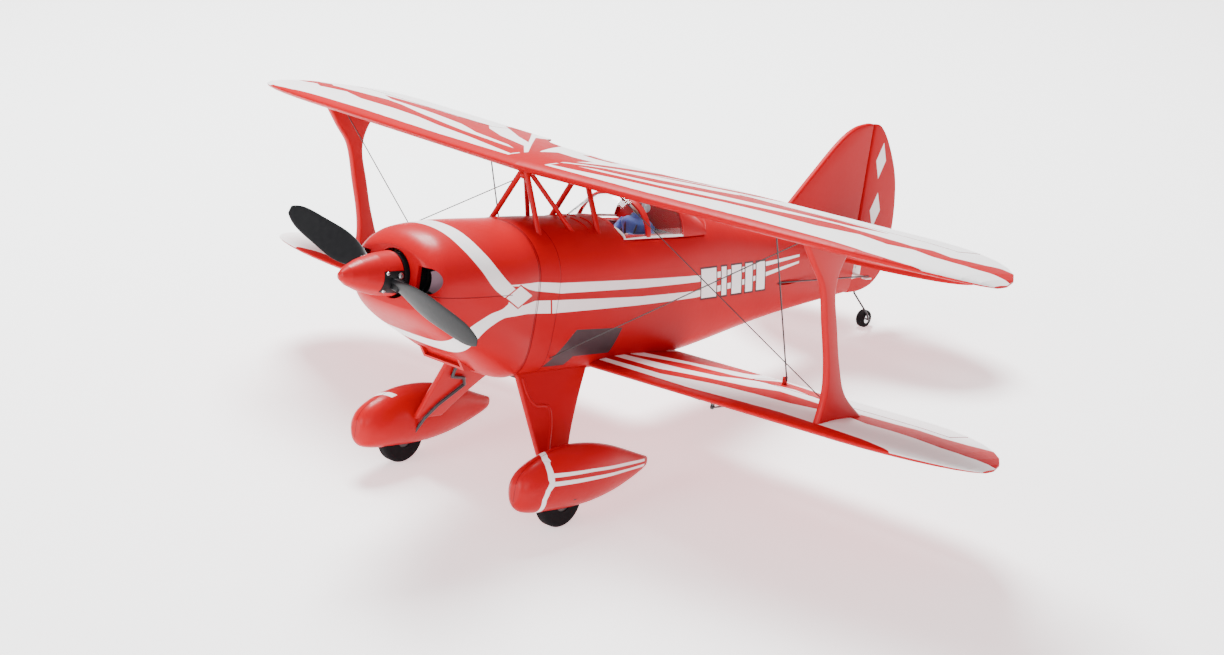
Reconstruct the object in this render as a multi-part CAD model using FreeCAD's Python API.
import FreeCAD, Part
import math
import os

# Foam radio-control aerobatic biplane, wings 434 mm across, standing on its three wheels.
# Everything is drawn in the aircraft's own axes (X to port, Y aft, Z up, millimetres) with the
# thrust line level, and turned nose-up into the stance at the end.

V = FreeCAD.Vector

# ---- driving dimensions -------------------------------------------------------------------
SPAN_HALF = 217.0            # upper wing centre line to tip
TIP_START = 157.0            # where the rounded tips begin
TIP_NOSE = 0.4               # share of the tip's rounding taken by the leading edge
FOIL_THICK = 0.095           # aerofoil thickness over chord
EDGE_THICK = 0.8             # blunt trailing edge

UP_LE, UP_Z, UP_CHORD = -6.2, 147.8, 75.7
UP_SWEEP = math.tan(math.radians(6.2))
LOW_LE, LOW_Z, LOW_CHORD = 38.0, 60.7, 67.7
LOW_RISE = math.tan(math.radians(2.1))
LOW_TIP = 216.5
UP_DROOP, LOW_DROOP = 4.5, 3.0   # how far the rounded tips curl down
CUTOUT_HALF, CUTOUT_DEEP = 50.0, 14.0

HINGE_AT = 0.72              # aileron hinge line as a share of the chord
AIL_IN, AIL_OUT = 76.0, 182.0
HINGE_GAP = 1.0              # running gap in front of a moving surface
END_GAP = 0.8                # running gap at a moving surface's ends

THRUST_Z = 103.0
SPINNER_TIP, SPINNER_BASE, SPINNER_R = -99.9, -72.6, 9.6
PROP_DIA, PROP_TILT = 122.9, 13.1
PROP_Y = SPINNER_BASE - 4.4  # plane of the blades, inside the spinner
COWL_FRONT, COWL_REAR, TAIL_END = -70.0, -10.0, 253.2
COWL_SPLIT_Z = 98.6
SHELL = 2.6                  # foam wall
COWL_WALL = 1.4

STRUT_X, STRUT_THICK = 144.4, 3.6
RUDDER_HINGE_Y, ELEV_HINGE_Y, STAB_Z = 254.4, 250.6, 103.0
TAIL_THICK = 3.0
STAB_HALF = 80.0

TRACK_HALF, WHEEL_R, TYRE_W = 50.0, 12.0, 7.0
WHEEL_Y, WHEEL_Z = -2.5, 11.7
AXLE_R = 0.75
TAIL_WHEEL_Y, TAIL_WHEEL_Z, TAIL_WHEEL_R, TAIL_WHEEL_W = 275.3, 63.7, 4.6, 4.6
TAIL_AXLE_R = 0.5

ROD_R = 0.4                  # pushrods and rigging
ELEV_ROD_X, ELEV_ROD_Z = -11.6, 94.0
RUD_ROD_X, RUD_ROD_Z = 11.6, 90.0
SERVO_Y = 78.0
ELEV_SERVO_ARM, RUD_SERVO_ARM = 6.0, 7.0
RUD_ARM = RUD_ROD_X
AIL_SERVO_X, AIL_SERVO_Y = 78.0, 58.0
AIL_HORN_DROP = 7.8          # aileron hinge line to its pushrod
AIL_SERVO_DROP = 3.4         # lower wing chord plane to the servo shaft
LINK_ARM = 9.0               # aileron hinge line to the link between the wings
LINK_X, LINK_R = 88.0, 0.35

HATCH_FRONT, HATCH_REAR, HATCH_Z = 50.0, 110.0, 117.0
GLASS_REAR = 90.0            # clear canopy ahead of this, solid headrest behind


# ---- small helpers ------------------------------------------------------------------------
def box(x0, x1, y0, y1, z0, z1):
    return Part.makeBox(x1 - x0, y1 - y0, z1 - z0, V(x0, y0, z0))


def rod(start, end, radius):
    start, end = V(*start), V(*end)
    return Part.makeCylinder(radius, (end - start).Length, start, end - start)


def disc(x_mid, y, z, radius, width):
    """A short cylinder across the aircraft, centred on x_mid."""
    return rod((x_mid - width / 2, y, z), (x_mid + width / 2, y, z), radius)


def mirrored(shape):
    return shape.mirror(V(0, 0, 0), V(1, 0, 0))


def fused(shapes):
    whole = shapes[0]
    for shape in shapes[1:]:
        whole = whole.fuse(shape)
    return whole.removeSplitter()


def cut(shape, *tools):
    for tool in tools:
        shape = shape.cut(tool)
    return shape


def largest(shape):
    """The biggest solid of a boolean result, without the crumbs beside it."""
    return max(shape.Solids, key=lambda solid: solid.Volume)


def slab(outline, x0, x1):
    """An outline in the side view, thick from x0 to x1."""
    wire = Part.makePolygon([V(x0, y, z) for y, z in outline + outline[:1]])
    return Part.Face(wire).extrude(V(x1 - x0, 0, 0))


def rounded_slab(edge_points, straight_points, x0, x1):
    """A side-view outline with one smooth run and one straight run."""
    curve = Part.BSplineCurve()
    curve.interpolate([V(x0, y, z) for y, z in edge_points])
    corners = [edge_points[-1]] + straight_points + [edge_points[0]]
    edges = [curve.toShape()]
    for (y0, z0), (y1, z1) in zip(corners, corners[1:]):
        edges.append(Part.makeLine(V(x0, y0, z0), V(x0, y1, z1)))
    return Part.Face(Part.Wire(edges)).extrude(V(x1 - x0, 0, 0))


def turned(profile, y_axis_z=THRUST_Z):
    """A body of revolution about the thrust line from (y, radius) points."""
    first, last = profile[0], profile[-1]
    points = [V(0, y, y_axis_z + r) for y, r in profile]
    if last[1] > 0:
        points.append(V(0, last[0], y_axis_z))
    if first[1] > 0:
        points.append(V(0, first[0], y_axis_z))
    face = Part.Face(Part.makePolygon(points + points[:1]))
    return face.revolve(V(0, 0, y_axis_z), V(0, 1, 0), 360)


def blend(value, table):
    """Smooth interpolation in a short table of (station, size) pairs."""
    if value <= table[0][0]:
        return table[0][1]
    for (a, size_a), (b, size_b) in zip(table, table[1:]):
        if value <= b:
            t = (value - a) / (b - a)
            t = t * t * (3 - 2 * t)
            return size_a + (size_b - size_a) * t
    return table[-1][1]


# ---- fuselage -----------------------------------------------------------------------------
# Stations: (y, half width, top, bottom, height of the widest line)
COWL_STATIONS = [
    (COWL_FRONT, 20.0, 114.8, 90.0, 102.0),
    (-68.0, 24.5, 117.6, 86.5, 101.8),
    (-64.0, 27.0, 120.6, 82.5, 101.5),
    (-57.0, 28.4, 122.6, 77.5, 101.0),
    (-43.0, 29.3, 123.8, 69.8, 100.0),
    (-28.0, 29.4, 124.0, 61.8, 99.5),
    (COWL_REAR, 28.2, 124.0, 57.0, 99.5),
]
BODY_STATIONS = [
    (COWL_REAR, 28.2, 124.0, 57.0, 99.5),
    (30.0, 27.0, 124.0, 56.8, 100.0),
    (70.0, 25.2, 125.2, 57.4, 101.5),
    (105.0, 22.2, 126.2, 60.0, 102.0),
    (150.0, 16.6, 119.6, 67.0, 101.0),
    (200.0, 10.2, 111.8, 74.0, 99.0),
    (TAIL_END, 3.6, 105.4, 79.4, 96.0),
]
SECTION_POINTS = 32
DOME_POWER, BELLY_POWER = 2.2, 4.2     # superellipse powers above and below the widest line


def section(station, inset=0.0):
    """Closed hull section: boxy below the widest line, domed above it."""
    y, half, top, bottom, wide = station
    half, top, bottom = half - inset, top - inset, bottom + inset
    points = []
    for k in range(SECTION_POINTS):
        angle = 2 * math.pi * (k + 0.5) / SECTION_POINTS
        c, s = math.cos(angle), math.sin(angle)
        reach, power = (top - wide, DOME_POWER) if s > 0 else (wide - bottom, BELLY_POWER)
        x = half * math.copysign(abs(c) ** (2 / power), c)
        z = wide + reach * math.copysign(abs(s) ** (2 / power), s)
        points.append(V(x, y, z))
    curve = Part.BSplineCurve()
    curve.interpolate(points, PeriodicFlag=True)
    return Part.Wire(curve.toShape())


def hull(stations, inset=0.0):
    return Part.makeLoft([section(s, inset) for s in stations], True, False)


def hull_size(y, column):
    """Half width (1), top (2) or bottom (3) of the hull at station y."""
    stations = COWL_STATIONS if y < COWL_REAR else BODY_STATIONS
    return blend(y, [(s[0], s[column]) for s in stations])


body_hull = hull(BODY_STATIONS)
body_inside = hull([(COWL_REAR - 1,) + BODY_STATIONS[0][1:]] + BODY_STATIONS[1:-1], SHELL)
body_shell = body_hull.cut(body_inside)
cowl_hull = hull(COWL_STATIONS)
cowl_inner = hull(COWL_STATIONS[1:-1] + [(COWL_REAR + 1,) + COWL_STATIONS[-1][1:]], COWL_WALL)

# cockpit opening under the hatch, with a rear face that slopes along the way it comes off
HATCH_SLOPE = 1.2
HATCH_TOP = 160.0


def hatch_region(gap):
    """The space the hatch fills, smaller by the gap at its ends and floor."""
    rear = HATCH_REAR - gap
    outline = [(HATCH_FRONT + gap, HATCH_Z + gap), (rear, HATCH_Z + gap),
               (rear + (HATCH_TOP - HATCH_Z) * HATCH_SLOPE, HATCH_TOP), (HATCH_FRONT + gap, HATCH_TOP)]
    return slab(outline, -40, 40)


elev_exit = rod((ELEV_ROD_X, 120, ELEV_ROD_Z), (ELEV_ROD_X, 250, ELEV_ROD_Z), 1.3)
rud_exit = rod((RUD_ROD_X, 120, RUD_ROD_Z), (RUD_ROD_X, 250, RUD_ROD_Z), 1.3)
joiner_slot = box(-12, 12, ELEV_HINGE_Y - 2.6, 256, STAB_Z - 2.2, STAB_Z + 2.2)


# ---- wings --------------------------------------------------------------------------------
def foil_half(t):
    """Half thickness of a symmetrical aerofoil at share t of the chord."""
    return 5 * FOIL_THICK * (0.2969 * math.sqrt(t) - 0.126 * t - 0.3516 * t ** 2
                             + 0.2843 * t ** 3 - 0.1036 * t ** 4)


def foil_wire(x, le, z, chord):
    """One aerofoil section at span station x, blunt at the trailing edge."""
    steps = 10
    cosines = [(1 - math.cos(math.pi * k / steps)) / 2 for k in range(steps + 1)]
    blunt = EDGE_THICK / 2

    def point(t, side):
        return V(x, le + t * chord, z + side * (foil_half(t) * chord + blunt * t))

    loop = [point(t, 1) for t in reversed(cosines)] + [point(t, -1) for t in cosines[1:]]
    curve = Part.BSplineCurve()
    curve.interpolate(loop)
    return Part.Wire([curve.toShape(), Part.makeLine(loop[-1], loop[0])])


def wing_edges(x, le, chord, sweep, tip):
    """Leading edge, chord and how far the rounded tip has closed at span station x."""
    lead = le + x * sweep
    if x <= TIP_START:
        return lead, chord, 0.0
    closing = 1 - math.sqrt(max(0.0, 1 - ((x - TIP_START) / (tip - TIP_START)) ** 2))
    return lead + TIP_NOSE * chord * closing, chord * (1 - closing), closing


def wing_half(start, tip, le, z, chord, sweep, rise, droop):
    stations = [start, TIP_START]
    for k in range(1, 8):
        stations.append(TIP_START + (tip - TIP_START) * math.sin(math.pi / 2 * k / 7.6))
    wires = []
    for x in stations:
        lead, c, closing = wing_edges(x, le, chord, sweep, tip)
        wires.append(foil_wire(x, lead, z + x * rise - droop * closing, c))
    return Part.makeLoft(wires, True, True)


def upper_hinge(x):
    return UP_LE + x * UP_SWEEP + HINGE_AT * UP_CHORD


LOW_HINGE_Y = LOW_LE + HINGE_AT * LOW_CHORD


def hinge_block(hinge, front, inner, outer):
    """The plan area behind a hinge line, from inner to outer span station."""
    corners = [(inner, hinge(inner) + front), (outer, hinge(outer) + front),
               (outer, hinge(outer) + 60), (inner, hinge(inner) + 60)]
    wire = Part.makePolygon([V(x, y, 20) for x, y in corners + corners[:1]])
    return Part.Face(wire).extrude(V(0, 0, 160))


upper_half = wing_half(0, SPAN_HALF, UP_LE, UP_Z, UP_CHORD, UP_SWEEP, 0, UP_DROOP)
lower_half = wing_half(10.0, LOW_TIP, LOW_LE, LOW_Z, LOW_CHORD, 0, LOW_RISE, LOW_DROOP)

cut_depth = UP_LE + UP_CHORD - CUTOUT_DEEP
cutout_curve = Part.BSplineCurve()
cutout_curve.interpolate([V(-CUTOUT_HALF - 6, cut_depth + 24, 120), V(-CUTOUT_HALF + 4, cut_depth + 8, 120),
                          V(-30, cut_depth + 1, 120), V(0, cut_depth, 120), V(30, cut_depth + 1, 120),
                          V(CUTOUT_HALF - 4, cut_depth + 8, 120), V(CUTOUT_HALF + 6, cut_depth + 24, 120)])
cutout = Part.Face(Part.Wire([
    cutout_curve.toShape(),
    Part.makeLine(cutout_curve.EndPoint, cutout_curve.StartPoint)])).extrude(V(0, 0, 60))


def lower_hinge(_):
    return LOW_HINGE_Y


upper_aileron = upper_half.common(hinge_block(upper_hinge, 0, AIL_IN, AIL_OUT))
lower_aileron = lower_half.common(hinge_block(lower_hinge, 0, AIL_IN, AIL_OUT))
upper_half = upper_half.cut(hinge_block(upper_hinge, -HINGE_GAP, AIL_IN - END_GAP, AIL_OUT + END_GAP))
lower_half = lower_half.cut(hinge_block(lower_hinge, -HINGE_GAP, AIL_IN - END_GAP, AIL_OUT + END_GAP))
upper_wing = fused([upper_half, mirrored(upper_half)]).cut(cutout)


def low_z(x):
    return LOW_Z + x * LOW_RISE


TAB_HALF = 0.4               # half thickness of horns and servo arms


# aileron horns: a tab below the lower aileron for the servo rod and the link, one on the upper
def horn_tab(x, y_mid, z0, z1, half=1.4):
    return box(x - TAB_HALF, x + TAB_HALF, y_mid - half, y_mid + half, z0, z1)


AIL_HORN_X = AIL_SERVO_X + 2.3
LINK_TAB_X = LINK_X - 1.1
low_face = low_z(AIL_SERVO_X) - 1.0
AIL_ROD_Z = low_z(AIL_SERVO_X) - AIL_HORN_DROP
link_low_y = LOW_HINGE_Y + LINK_ARM
link_up_y = upper_hinge(LINK_X) + LINK_ARM
link_low_z = low_z(LINK_X) + 3.4
link_up_z = UP_Z - 3.4
lower_aileron = fused([lower_aileron,
                       horn_tab(AIL_HORN_X, LOW_HINGE_Y + 1.6, AIL_ROD_Z - 1.2, low_face + 1.5),
                       horn_tab(LINK_TAB_X, link_low_y, low_z(LINK_X), link_low_z + 1.6)])
upper_aileron = fused([upper_aileron, horn_tab(LINK_TAB_X, link_up_y, link_up_z - 1.6, UP_Z)])


# ---- interplane and cabane struts -----------------------------------------------------------
def interplane_strut():
    """I strut: broad at the wings, waisted between, leaning forward to the upper wing."""
    foot_z = low_z(STRUT_X)
    top_z = UP_Z
    front = [(42.0, foot_z), (44.5, foot_z + 14.0), (42.6, foot_z + 27.0), (36.8, foot_z + 44.0),
             (30.6, foot_z + 61.0), (22.0, foot_z + 71.0), (13.0, top_z)]
    rear = [(50.5, top_z), (42.0, foot_z + 72.0), (39.4, foot_z + 60.0), (44.8, foot_z + 44.0),
            (51.2, foot_z + 27.0), (59.4, foot_z + 13.0), (78.3, foot_z)]
    x0 = STRUT_X - STRUT_THICK / 2
    edges = []
    for run in (front, rear):
        curve = Part.BSplineCurve()
        curve.interpolate([V(x0, y, z) for y, z in run])
        edges.append(curve.toShape())
    edges.insert(1, Part.makeLine(V(x0, *front[-1]), V(x0, *rear[0])))
    edges.append(Part.makeLine(V(x0, *rear[-1]), V(x0, *front[0])))
    return Part.Face(Part.Wire(edges)).extrude(V(STRUT_THICK, 0, 0))


CABANE_X, CABANE_FRONT_Y, CABANE_REAR_Y = 16.2, -0.5, 38.0
CABANE_TOP_FRONT_Y, CABANE_TOP_REAR_Y = 1.0, 38.5
DECK_WIDE_Z = 100.0          # height of the hull's widest line under the cabane


def deck_point(x, y, sink=2.5):
    """A point on the domed deck above station y, a little below the skin."""
    half, top = hull_size(y, 1), hull_size(y, 2)
    dome = (1 - abs(x / half) ** DOME_POWER) ** (1 / DOME_POWER)
    return (x, y, DECK_WIDE_Z + (top - DECK_WIDE_Z) * dome - sink)


def strut_leg(foot, head, radius=1.25):
    """One round leg with a small ball foot sunk in the deck."""
    return fused([rod(foot, head, radius), Part.makeSphere(radius * 1.25, V(*foot))])


def cabane_pair(foot_y, top_y):
    """Two legs that meet under the upper wing in a small ball."""
    leg = strut_leg(deck_point(CABANE_X, foot_y), (0, top_y, UP_Z))
    return fused([leg, mirrored(leg), Part.makeSphere(1.7, V(0, top_y, UP_Z - 4.2))])


cabane_front = cabane_pair(CABANE_FRONT_Y, CABANE_TOP_FRONT_Y)
cabane_rear = cabane_pair(CABANE_REAR_Y, CABANE_TOP_REAR_Y)
brace = strut_leg(deck_point(CABANE_X - 1.5, CABANE_REAR_Y - 14), (1.6, 3.4, UP_Z - 3.0), 1.05)
cabane_braces = Part.makeCompound([brace, mirrored(brace)])

# ---- tail -----------------------------------------------------------------------------------
FIN_EDGE = [(178.0, 110.0), (193.4, 126.2), (210.0, 142.3), (226.4, 157.4),
            (238.0, 164.6), (248.6, 167.0), (RUDDER_HINGE_Y - HINGE_GAP, 167.0)]
fin = rounded_slab(FIN_EDGE, [(RUDDER_HINGE_Y - HINGE_GAP, STAB_Z + 2.4)], -TAIL_THICK / 2, TAIL_THICK / 2)
fin = largest(fin.cut(body_hull))
RUDDER_EDGE = [(RUDDER_HINGE_Y, 166.8), (261.0, 165.8), (269.7, 157.2), (279.5, 141.4),
               (284.0, 125.4), (285.3, 108.0), (283.6, 93.2), (276.5, 83.6), (266.0, 79.4),
               (RUDDER_HINGE_Y, 78.6)]
rudder = rounded_slab(RUDDER_EDGE, [], -TAIL_THICK / 2, TAIL_THICK / 2)
horn_z = RUD_ROD_Z - ROD_R - 0.3
rudder_horn = fused([
    box(0, RUD_ARM + 1.4, RUDDER_HINGE_Y + 1.0, RUDDER_HINGE_Y + 3.2, horn_z - 0.8, horn_z),
    box(RUD_ARM - 1.4, RUD_ARM + 1.4, RUDDER_HINGE_Y - 1.4, RUDDER_HINGE_Y + 3.2, horn_z - 0.8, horn_z)])
rudder = fused([rudder, rudder_horn])


def tail_plan(points, z_mid):
    """A flat tail surface from its plan outline, port side."""
    curve = Part.BSplineCurve()
    curve.interpolate([V(x, y, z_mid - TAIL_THICK / 2) for x, y in points[0]])
    corners = [points[0][-1]] + points[1] + [points[0][0]]
    edges = [curve.toShape()]
    for (x0, y0), (x1, y1) in zip(corners, corners[1:]):
        edges.append(Part.makeLine(V(x0, y0, z_mid - TAIL_THICK / 2), V(x1, y1, z_mid - TAIL_THICK / 2)))
    return Part.Face(Part.Wire(edges)).extrude(V(0, 0, TAIL_THICK))


STAB_AFT = ELEV_HINGE_Y - HINGE_GAP
stab_half = tail_plan(([(0, 213.5), (20, 215.5), (45, 221.5), (66, 231.5), (76, 241.0), (79.0, STAB_AFT)],
                       [(0, STAB_AFT)]), STAB_Z)
stabilizer = fused([stab_half, mirrored(stab_half)]).cut(
    box(-7.5, 7.5, ELEV_HINGE_Y - 2.8, ELEV_HINGE_Y + 1, STAB_Z - 5, STAB_Z + 5))
elev_half = tail_plan(([(STAB_HALF, ELEV_HINGE_Y), (79.4, 258.0), (74.0, 268.5), (60.0, 276.5),
                        (40.0, 280.6), (21.0, 281.5)],
                       [(6.6, ELEV_HINGE_Y + 4.0), (6.6, ELEV_HINGE_Y)]), STAB_Z)
joiner = rod((-8, ELEV_HINGE_Y, STAB_Z), (8, ELEV_HINGE_Y, STAB_Z), 0.9)
elev_horn = box(ELEV_ROD_X + 0.8, ELEV_ROD_X + 1.6, ELEV_HINGE_Y + 0.2, ELEV_HINGE_Y + 3.2,
                ELEV_ROD_Z - 1.4, STAB_Z - 1.0)
elevator = fused([elev_half, mirrored(elev_half), joiner, elev_horn])

# ---- undercarriage ---------------------------------------------------------------------------
LEG_TOP_X, LEG_TOP_Z = 17.7, 61.0
LEG_FOOT_X, LEG_FOOT_Z = 39.2, 22.0
PANT_HALF = 9.8


def gear_fairing():
    """Flat leg fairing from the belly to the wheel pant, raked forward and outward."""
    top = [(LEG_TOP_X, -8.0), (LEG_TOP_X, 38.0)]
    foot = [(LEG_FOOT_X, -5.5), (LEG_FOOT_X, 10.5)]
    wires = []
    for (x, y0), (_, y1), z in ((top[0], top[1], LEG_TOP_Z), (foot[0], foot[1], LEG_FOOT_Z)):
        thick = 3.2
        corners = [V(x, y0, z), V(x + thick, y0 + 4, z), V(x + thick, y1 - 6, z),
                   V(x, y1, z), V(x - thick * 0.2, y1 - 6, z), V(x - thick * 0.2, y0 + 4, z)]
        wires.append(Part.makePolygon(corners + corners[:1]))
    return Part.makeLoft(wires, True, True)


# stations of a wheel pant along its own axis: (distance, half width, height above, below)
PANT_STATIONS = [(-31.0, 2.6, 3.0, 5.2), (-29.0, 5.6, 6.8, 8.6), (-22.5, 8.4, 11.0, 11.0),
                 (-10.0, PANT_HALF, 14.6, 12.2), (5.0, PANT_HALF, 15.2, 12.8), (22.0, 8.0, 12.4, 11.6),
                 (38.0, 4.9, 7.2, 8.2), (52.0, 1.4, 2.0, 2.8)]
PANT_SLOPE = math.tan(math.radians(3.6))
PANT_AXIS_Y, PANT_AXIS_Z = 0.0, 20.6


def pant_point(along):
    return PANT_AXIS_Y + along, PANT_AXIS_Z + along * PANT_SLOPE


def pant_body(inset=0.0):
    wires = []
    for along, half, above, below in PANT_STATIONS:
        y, z = pant_point(along)
        half, above, below = half - inset, above - inset, below - inset
        if min(half, above, below) < 0.6:
            continue
        points = []
        for k in range(16):
            angle = 2 * math.pi * k / 16
            rise = above if math.sin(angle) > 0 else below
            points.append(V(TRACK_HALF + half * math.cos(angle), y, z + rise * math.sin(angle)))
        curve = Part.BSplineCurve()
        curve.interpolate(points, PeriodicFlag=True)
        wires.append(Part.Wire(curve.toShape()))
    return Part.makeLoft(wires, True, False)


wheel_well = fused([disc(TRACK_HALF, WHEEL_Y, WHEEL_Z, WHEEL_R + 1.6, TYRE_W + 2.4),
                    box(TRACK_HALF - TYRE_W / 2 - 1.2, TRACK_HALF + TYRE_W / 2 + 1.2,
                        WHEEL_Y - WHEEL_R - 1.6, WHEEL_Y + WHEEL_R + 1.6, 0, WHEEL_Z)])
pant = largest(cut(pant_body(), wheel_well))

# bent wire leg: across the belly, down the inner face of the fairing with a springy kink, then
# out through the pant along the axle
AXLE_END = TRACK_HALF + 6.0
BELLY_WIRE_Z = 57.0
wire_route = [(0, -2.0, BELLY_WIRE_Z), (18.2, -2.0, BELLY_WIRE_Z), (22.2, -1.9, 50.3), (24.3, -0.8, 46.4),
              (25.2, 7.8, 45.0), (27.3, 10.9, 41.2), (33.1, 1.8, 30.7), (36.9, -1.8, 23.6),
              (44.0, WHEEL_Y, WHEEL_Z), (AXLE_END, WHEEL_Y, WHEEL_Z)]


def bent_wire(route, radius):
    pieces = []
    for a, b in zip(route, route[1:]):
        pieces.append(rod(a, b, radius))
    for corner in route[1:-1]:
        pieces.append(Part.makeSphere(radius, V(*corner)))
    return fused(pieces)


gear_half = bent_wire(wire_route, AXLE_R)
gear_wire = fused([gear_half, mirrored(gear_half)])
SCREW_Y, SCREW_Z = -1.7, 15.3            # screw in the outer face of each pant
pant_screw = rod((TRACK_HALF + 5.6, SCREW_Y, SCREW_Z), (TRACK_HALF + 8.7, SCREW_Y, SCREW_Z), 1.5)


def wheel(x, y, z, radius, width, rim, bore):
    """A tyre with rounded shoulders and the hub inside it."""
    tyre = disc(x, y, z, radius, width)
    tyre = tyre.makeFillet(width * 0.3, [e for e in tyre.Edges if e.Curve.TypeId.endswith("Circle")])
    hub = disc(x, y, z, rim, width * 0.86).cut(disc(x, y, z, bore, width * 2))
    return tyre.cut(disc(x, y, z, rim, width * 2)), hub


RUN_FIT = 0.06
tyre, hub = wheel(TRACK_HALF, WHEEL_Y, WHEEL_Z, WHEEL_R, TYRE_W, 4.6, AXLE_R + RUN_FIT)
tail_tyre, tail_hub = wheel(0.0, TAIL_WHEEL_Y, TAIL_WHEEL_Z, TAIL_WHEEL_R, TAIL_WHEEL_W, 2.4,
                            TAIL_AXLE_R + RUN_FIT)
FORK_X = TAIL_WHEEL_W / 2 + 1.0
tail_wire = bent_wire([(0, 262.0, 83.0), (0, 262.8, 78.0), (FORK_X, 272.6, 67.2),
                       (FORK_X, TAIL_WHEEL_Y, TAIL_WHEEL_Z),
                       (-TAIL_WHEEL_W / 2 - 0.6, TAIL_WHEEL_Y, TAIL_WHEEL_Z)], TAIL_AXLE_R)

# ---- power train -------------------------------------------------------------------------------
spinner = turned([(SPINNER_TIP, 0.0), (SPINNER_TIP + 0.7, 1.9), (SPINNER_TIP + 4, 4.2),
                  (SPINNER_TIP + 10, 6.6), (SPINNER_TIP + 18, 8.6), (SPINNER_BASE, SPINNER_R)])
HUB_FRONT, HUB_REAR, HUB_R = PROP_Y - 2.6, PROP_Y + 2.2, 5.4
NUT_LENGTH = 1.8
spinner = spinner.cut(rod((0, HUB_FRONT - NUT_LENGTH - 0.6, THRUST_Z), (0, SPINNER_BASE + 1, THRUST_Z),
                          HUB_R + 1.4))
prop_hub = rod((0, HUB_FRONT, THRUST_Z), (0, HUB_REAR, THRUST_Z), HUB_R)


def blade():
    """One twisted blade pointing to port before the propeller is turned."""
    stations = [(3.0, 5.0, 3.0, 32), (10.0, 6.4, 2.2, 34), (20.0, 11.4, 1.5, 29), (34.0, 12.8, 1.2, 22),
                (48.0, 11.0, 1.0, 17), (57.0, 8.0, 0.8, 14), (PROP_DIA / 2, 3.6, 0.5, 13)]
    wires = []
    for x, chord, thick, pitch in stations:
        c, s = math.cos(math.radians(pitch)), math.sin(math.radians(pitch))
        points = []
        for k in range(12):
            angle = 2 * math.pi * k / 12
            a, b = chord / 2 * math.cos(angle), thick / 2 * math.sin(angle)
            points.append(V(x, PROP_Y + a * s + b * c, THRUST_Z - a * c + b * s))
        curve = Part.BSplineCurve()
        curve.interpolate(points, PeriodicFlag=True)
        wires.append(Part.Wire(curve.toShape()))
    return Part.makeLoft(wires, True, False)


port_blade = blade()
star_blade = port_blade.copy()
star_blade.rotate(V(0, PROP_Y, THRUST_Z), V(0, 1, 0), 180)
SHAFT_R = 0.75


def shaft_hole(radius):
    return rod((0, -100, THRUST_Z), (0, -20, THRUST_Z), radius)


propeller = fused([prop_hub, port_blade, star_blade])
propeller = propeller.cut(shaft_hole(SHAFT_R))
propeller.rotate(V(0, PROP_Y, THRUST_Z), V(0, 1, 0), PROP_TILT)
spinner = spinner.cut(port_blade.fuse(star_blade).rotated(V(0, PROP_Y, THRUST_Z), V(0, 1, 0), PROP_TILT))

BELL_FRONT, BELL_REAR, BELL_R = SPINNER_BASE + 1.2, SPINNER_BASE + 13.2, 9.0
motor_bell = fused([
    rod((0, BELL_FRONT, THRUST_Z), (0, BELL_REAR, THRUST_Z), BELL_R)
    .cut(rod((0, BELL_FRONT + 1.2, THRUST_Z), (0, BELL_REAR + 1, THRUST_Z), BELL_R - 1.2)),
    rod((0, HUB_REAR, THRUST_Z), (0, BELL_FRONT, THRUST_Z), 3.2)])
motor_bell = motor_bell.cut(shaft_hole(SHAFT_R))
STATOR_REAR = BELL_REAR + 3.0
motor_shaft = rod((0, HUB_FRONT - NUT_LENGTH, THRUST_Z), (0, STATOR_REAR - 1, THRUST_Z), SHAFT_R)
prop_nut = rod((0, HUB_FRONT - NUT_LENGTH, THRUST_Z), (0, HUB_FRONT, THRUST_Z), 3.2).cut(motor_shaft)
motor_stator = fused([
    rod((0, BELL_FRONT + 2.0, THRUST_Z), (0, STATOR_REAR, THRUST_Z), BELL_R - 2.0),
    rod((0, BELL_REAR + 0.6, THRUST_Z), (0, STATOR_REAR, THRUST_Z), BELL_R + 1.0)])
motor_stator = motor_stator.cut(shaft_hole(SHAFT_R + RUN_FIT))

FIREWALL_Y, FIREWALL_THICK = -44.0, 2.0
ROOM = 40.0                              # wider than the inside of the fuselage
firewall = box(-ROOM, ROOM, FIREWALL_Y, FIREWALL_Y + FIREWALL_THICK, 40, 140).common(cowl_inner)
mount_legs = [rod((x, STATOR_REAR, THRUST_Z + z), (x, FIREWALL_Y, THRUST_Z + z), 1.6)
              for x in (-7, 7) for z in (-7, 7)]
motor_mount = fused([rod((0, STATOR_REAR, THRUST_Z), (0, STATOR_REAR + 1.4, THRUST_Z), 11.0)] + mount_legs)

# ---- cowl ---------------------------------------------------------------------------------------
cowl = cowl_hull.cut(cowl_inner)
nose_hole = rod((0, COWL_FRONT - 8, THRUST_Z), (0, COWL_FRONT + 3, THRUST_Z), 10.6)


INLET_X, INLET_Z, INLET_R = 20.5, 104.2, 5.4


def inlet(side):
    """Cooling opening in one cheek of the cowl, round outside and square towards the spinner."""
    x, y0, y1 = side * INLET_X, COWL_FRONT - 8, COWL_FRONT + 12
    inner = x - side * (INLET_R + 0.5)
    return fused([rod((x, y0, INLET_Z), (x, y1, INLET_Z), INLET_R),
                  box(min(inner, x), max(inner, x), y0, y1, INLET_Z - INLET_R, INLET_Z + INLET_R)])


cowl = cut(cowl, nose_hole, inlet(1), inlet(-1))
scoop = slab([(-38.5, 69.5), (-32.5, 61.4), (-22.0, 60.6), (-20.0, 65.0), (-34.0, 72.0)], -12.5, 12.5)
scoop_mouth = slab([(-40.0, 67.4), (-34.2, 62.4), (-31.6, 63.2), (-36.0, 68.6)], -11.0, 11.0)
outlet_face = [(19.5, 80.0), (51.5, 78.8), (46.5, 67.0), (22.0, 67.2), (18.5, 63.0), (4.0, 63.2)]
outlet_cut = slab(outlet_face, 18, 40)
outlet_plate = largest(outlet_cut.common(body_shell))

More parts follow.
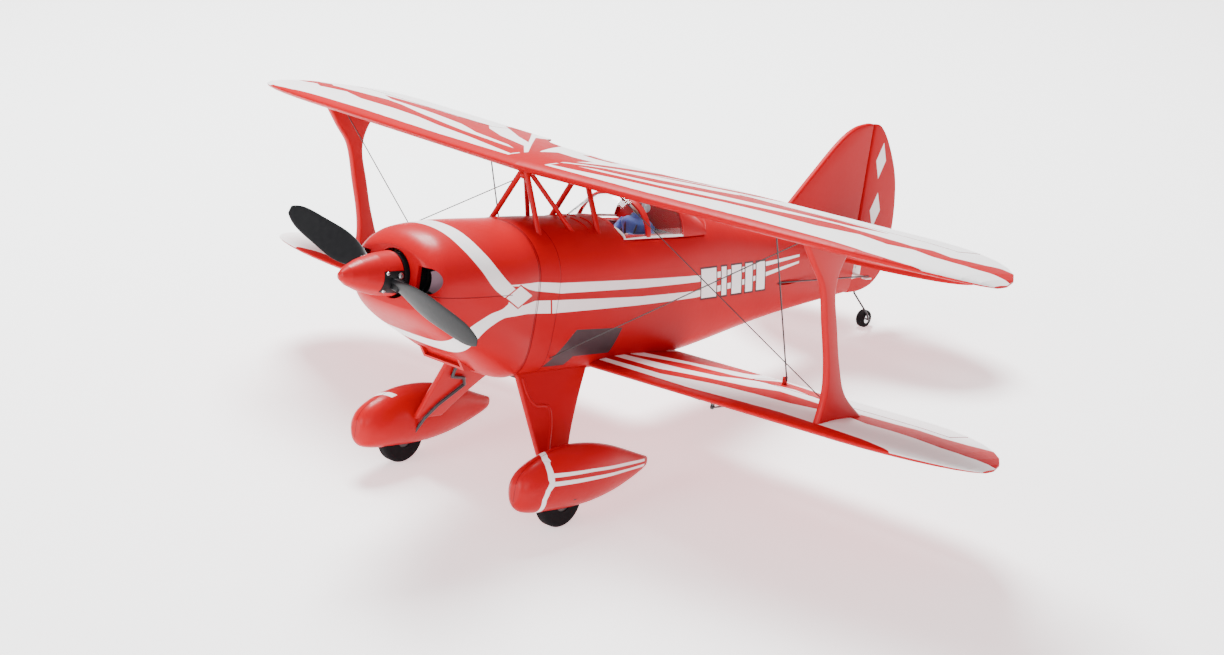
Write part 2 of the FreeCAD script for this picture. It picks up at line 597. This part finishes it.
cowl_top_half = box(-60, 60, -120, COWL_REAR, COWL_SPLIT_Z, 160)
cowl_low_half = box(-60, 60, -120, COWL_REAR, 40, COWL_SPLIT_Z)
cowl_upper = largest(cowl.common(cowl_top_half))
cowl_lower = largest(cowl.common(cowl_low_half).fuse(cut(scoop, cowl_inner)).cut(scoop_mouth))

# ---- inside -------------------------------------------------------------------------------------
battery = box(-9.5, 9.5, -27.0, 17.0, 64.0, 75.0)
cabin = fused([body_inside.common(box(-ROOM, ROOM, COWL_REAR, 260, 40, 140)),
               cowl_inner.common(box(-ROOM, ROOM, FIREWALL_Y + FIREWALL_THICK, COWL_REAR, 40, 140))])


def shelf(y0, y1, z0, z1):
    """A flat ply shelf that reaches both side walls."""
    half = box(0, ROOM, y0, y1, z0, z1).common(cabin)
    return fused([half, mirrored(half)])


battery_tray = shelf(FIREWALL_Y + FIREWALL_THICK, 16.0, 62.6, 64.0)
board_shelf = shelf(18.0, 50.0, 66.0, 68.0)
control_board = box(-12, 12, 22.0, 48.0, 68.0, 73.0)


def servo(x, y, z):
    """Sub-micro servo case with its arm shaft across the aircraft."""
    return box(x - SERVO_HALF, x + SERVO_HALF, y - 10.0, y + 10.0, z - 5.0, z + 5.0)


ELEV_SERVO_Z = ELEV_ROD_Z + ELEV_SERVO_ARM
RUD_SERVO_Z = RUD_ROD_Z + RUD_SERVO_ARM
SERVO_X, SERVO_HALF = 5.0, 4.2
SERVO_FACE = SERVO_X + SERVO_HALF        # outer side of each servo case
BOSS = 0.8                               # length of the boss under each servo arm


def servo_with_boss(side, shaft_z):
    boss = rod((side * SERVO_FACE, SERVO_Y, shaft_z), (side * (SERVO_FACE + BOSS), SERVO_Y, shaft_z), 1.6)
    return fused([servo(side * SERVO_X, SERVO_Y - 6, shaft_z), boss])


fuselage_servos = [servo_with_boss(-1, ELEV_SERVO_Z), servo_with_boss(1, RUD_SERVO_Z)]
servo_floor = shelf(56.0, 92.0, 86.2, 87.6)


def servo_arm(x0, x1, y, z_axis, z_pin, radius=1.7):
    """Small arm plate from its axis to its pin hole."""
    low, high = min(z_axis, z_pin), max(z_axis, z_pin)
    return fused([rod((x0, y, z_axis), (x1, y, z_axis), radius), box(x0, x1, y - 0.9, y + 0.9, low, high),
                  rod((x0, y, z_pin), (x1, y, z_pin), 1.2)])


ARM_GAP = 0.3                            # clearance between an arm or horn and its pushrod
ARM_FACE = SERVO_FACE + BOSS + 0.05
elev_arm = servo_arm(ELEV_ROD_X + ROD_R + ARM_GAP, -ARM_FACE, SERVO_Y, ELEV_SERVO_Z, ELEV_ROD_Z)
rud_arm = servo_arm(ARM_FACE, RUD_ROD_X - ROD_R - ARM_GAP, SERVO_Y, RUD_SERVO_Z, RUD_ROD_Z)


def pushrod(x, z, y0, y1):
    return rod((x, y0, z), (x, y1, z), ROD_R)


elevator_pushrod = pushrod(ELEV_ROD_X, ELEV_ROD_Z, SERVO_Y - 3.0, ELEV_HINGE_Y + 3.0)
rudder_pushrod = pushrod(RUD_ROD_X, RUD_ROD_Z, SERVO_Y - 3.0, RUDDER_HINGE_Y + 2.0)

# aileron drive under each lower wing
ail_servo = box(AIL_SERVO_X - 9.0, AIL_SERVO_X - 0.6, AIL_SERVO_Y - 9.0, AIL_SERVO_Y + 9.0,
                low_z(AIL_SERVO_X) - AIL_SERVO_DROP - 0.9, low_z(AIL_SERVO_X) + 1.2)
arm_slot = box(AIL_SERVO_X - TAB_HALF - 0.4, AIL_SERVO_X + TAB_HALF + 0.4, AIL_SERVO_Y - 6.0, AIL_SERVO_Y + 6.0,
               low_z(AIL_SERVO_X) - 8.0, low_z(AIL_SERVO_X) - 1.6)
ail_arm = servo_arm(AIL_SERVO_X - TAB_HALF, AIL_SERVO_X + TAB_HALF, AIL_SERVO_Y,
                    low_z(AIL_SERVO_X) - AIL_SERVO_DROP, AIL_ROD_Z, 1.1)
ail_rod = pushrod(AIL_SERVO_X + TAB_HALF + ROD_R + ARM_GAP, AIL_ROD_Z, AIL_SERVO_Y - 1.2, LOW_HINGE_Y + 2.8)
ail_link = rod((LINK_X, link_low_y, link_low_z), (LINK_X, link_up_y, link_up_z), LINK_R)


# ---- hatch with canopy, pilot and cockpit floor ---------------------------------------------------
CANOPY_STATIONS = [
    (HATCH_FRONT + 0.4, 20.2, 122.4), (57.0, 21.2, 129.0), (64.5, 21.8, 135.0), (77.0, 21.8, 137.6),
    (GLASS_REAR, 21.2, 135.4), (101.0, 20.0, 130.4), (HATCH_REAR - 0.4, 18.8, 126.0)]
CANOPY_POWER = 2.05                      # superellipse power, rather flat on its sides


def canopy_body(inset=0.0):
    wires = []
    for y, half, top in CANOPY_STATIONS:
        half, top = half - inset, top - inset
        points = []
        for k in range(13):
            angle = math.pi * k / 12
            x = half * math.copysign(abs(math.cos(angle)) ** (2 / CANOPY_POWER), math.cos(angle))
            rise = (top - HATCH_Z - 0.6) * math.sin(angle) ** (2 / CANOPY_POWER)
            points.append(V(x, y, HATCH_Z + 0.6 + rise))
        curve = Part.BSplineCurve()
        curve.interpolate(points)
        wires.append(Part.Wire([curve.toShape(), Part.makeLine(points[-1], points[0])]))
    return Part.makeLoft(wires, True, False)


canopy_skin = canopy_body()
GLASS_Z = HATCH_Z + 1.2
clear_part = box(-40, 40, 0, GLASS_REAR, GLASS_Z, 160)
canopy_glass = largest(canopy_skin.cut(canopy_body(0.8)).common(clear_part))
headrest = canopy_skin.common(box(-40, 40, GLASS_REAR, 200, GLASS_Z, 160))
TUB_HALF, TUB_FRONT, TUB_REAR = 14.6, HATCH_FRONT + 6.0, GLASS_REAR
well = box(-TUB_HALF, TUB_HALF, TUB_FRONT, TUB_REAR, 100, 160)
hatch_frame = body_hull.common(hatch_region(0.3)).fuse(headrest.common(hatch_region(0.3)))
hatch_frame = largest(cut(hatch_frame, canopy_skin.common(clear_part), well))
tub_outer = box(-TUB_HALF, TUB_HALF, TUB_FRONT, TUB_REAR, HATCH_Z - 9.0, GLASS_Z)
tub_inner = box(-TUB_HALF + 1.2, TUB_HALF - 1.2, TUB_FRONT + 1.2, TUB_REAR - 1.2, HATCH_Z - 7.6, 160)
cockpit_floor = tub_outer.cut(tub_inner)
PILOT_Y = 76.0
SEAT_Z = HATCH_Z - 7.6
pilot = fused([
    box(-8.5, 8.5, PILOT_Y - 4.0, PILOT_Y + 4.6, SEAT_Z, HATCH_Z + 3.6),
    rod((0, PILOT_Y + 0.5, HATCH_Z + 3.0), (0, PILOT_Y + 0.5, HATCH_Z + 9), 2.2),
    Part.makeSphere(4.6, V(0, PILOT_Y + 0.5, HATCH_Z + 11.2))])

# ---- rigging ------------------------------------------------------------------------------------
WIRE_R = 0.25
FLY_ROOT, FLY_TOP = (23.0, 6.0, 66.0), (STRUT_X - 3.6, 21.0, UP_Z - 1.0)
LAND_ROOT, LAND_FOOT = (12.0, 34.0, UP_Z - 1.0), (STRUT_X - 2.0, 47.0, 78.0)


def rigging_half(side_shapes):
    wires = [rod(FLY_ROOT, FLY_TOP, WIRE_R), rod(LAND_ROOT, LAND_FOOT, WIRE_R)]
    return [largest(cut(wire, *side_shapes)) for wire in wires]


# ---- fit the pieces to each other ---------------------------------------------------------------
lower_wing = largest(cut(lower_half, body_hull))
strut = largest(cut(interplane_strut(), upper_wing, lower_wing))
cabane_front = largest(cut(cabane_front, upper_wing, body_hull, mirrored(body_hull), cowl_hull))
cabane_rear = largest(cut(cabane_rear, upper_wing, body_hull, mirrored(body_hull)))
brace = largest(cut(brace, upper_wing, body_hull, cabane_front))
rigging = rigging_half([upper_wing, lower_wing, body_hull, strut])
pant = largest(cut(pant, gear_wire))
fairing = largest(cut(gear_fairing(), body_hull, cowl_hull, pant, wheel_well, gear_wire))
pant_screw = largest(cut(pant_screw, pant, gear_wire))
lower_wing = largest(cut(lower_wing, ail_servo, arm_slot))
rudder = largest(rudder.cut(tail_wire))

port_side = box(0, 60, -120, 300, 0, 200)
half_shell = cut(body_shell.common(port_side), hatch_region(0.0), outlet_cut, stabilizer, joiner_slot, gear_wire)
fuselage_left = largest(half_shell.cut(rud_exit))
fuselage_right = largest(mirrored(half_shell).cut(elev_exit))
cowl_lower = largest(cut(cowl_lower, gear_wire))

nodes = {
    "fuselage_left": fuselage_left,
    "fuselage_right": fuselage_right,
    "cowl_upper": cowl_upper,
    "cowl_lower": cowl_lower,
    "cooling_outlets": [outlet_plate, mirrored(outlet_plate)],
    "upper_wing": upper_wing,
    "lower_wing_left": lower_wing,
    "lower_wing_right": mirrored(lower_wing),
    "interplane_strut_left": strut,
    "interplane_strut_right": mirrored(strut),
    "cabane_front": cabane_front,
    "cabane_rear": cabane_rear,
    "cabane_braces": [brace, mirrored(brace)],
    "rigging_wires": rigging + [mirrored(wire) for wire in rigging],
    "fin": fin,
    "stabilizer": stabilizer,
    "gear_fairings": [fairing, mirrored(fairing)],
    "gear_wire": gear_wire,
    "wheel_pants": [pant, mirrored(pant)],
    "pant_screws": [pant_screw, mirrored(pant_screw)],
    "firewall": firewall,
    "motor_mount": motor_mount,
    "motor_stator": motor_stator,
    "battery": battery,
    "equipment_trays": [battery_tray, board_shelf, servo_floor],
    "control_board": control_board,
    "fuselage_servos": fuselage_servos,
    "aileron_servos": [ail_servo, mirrored(ail_servo)],
    "hatch_frame": hatch_frame,
    "canopy_glass": canopy_glass,
    "cockpit_tub": cockpit_floor,
    "pilot": pilot,
    "spinner": spinner,
    "propeller": propeller,
    "prop_nut": prop_nut,
    "motor_bell": motor_bell,
    "motor_shaft": motor_shaft,
    "tyre_left": tyre,
    "wheel_hub_left": hub,
    "tyre_right": mirrored(tyre),
    "wheel_hub_right": mirrored(hub),
    "rudder": rudder,
    "tail_wheel_wire": tail_wire,
    "tail_tyre": tail_tyre,
    "tail_wheel_hub": tail_hub,
    "elevator": elevator,
    "aileron_lower_left": lower_aileron,
    "aileron_lower_right": mirrored(lower_aileron),
    "aileron_upper_left": upper_aileron,
    "aileron_upper_right": mirrored(upper_aileron),
    "elevator_pushrod": elevator_pushrod,
    "rudder_pushrod": rudder_pushrod,
    "elevator_servo_arm": elev_arm,
    "rudder_servo_arm": rud_arm,
    "aileron_servo_arm_left": ail_arm,
    "aileron_servo_arm_right": mirrored(ail_arm),
    "aileron_pushrod_left": ail_rod,
    "aileron_pushrod_right": mirrored(ail_rod),
    "aileron_link_left": ail_link,
    "aileron_link_right": mirrored(ail_link),
}

# ---- stance: nose up until all three wheels touch the ground ------------------------------------
run_y, run_z = TAIL_WHEEL_Y - WHEEL_Y, TAIL_WHEEL_Z - WHEEL_Z
STANCE = math.atan2(run_z, run_y) + math.asin((WHEEL_R - TAIL_WHEEL_R) / math.hypot(run_y, run_z))


def stance_point(x, y, z):
    """A point of the aircraft's axes, turned nose-up about the X axis."""
    c, s = math.cos(STANCE), math.sin(STANCE)
    return x, y * c + z * s, z * c - y * s


def placed(shape):
    shape = shape.copy()
    shape.rotate(V(0, 0, 0), V(1, 0, 0), -math.degrees(STANCE))
    shape.translate(V(0, SHIFT_Y, SHIFT_Z))
    return shape


SHIFT_Y, SHIFT_Z = 0.0, WHEEL_R - stance_point(0, WHEEL_Y, WHEEL_Z)[2]
nose_y = placed(spinner).optimalBoundingBox(False).YMin
tail_y = placed(rudder).optimalBoundingBox(False).YMax
SHIFT_Y = -(nose_y + tail_y) / 2

os.makedirs("parts", exist_ok=True)
for name, piece in nodes.items():
    if isinstance(piece, list):
        piece = Part.makeCompound(piece)
    placed(piece).exportStep(os.path.join("parts", name + ".step"))
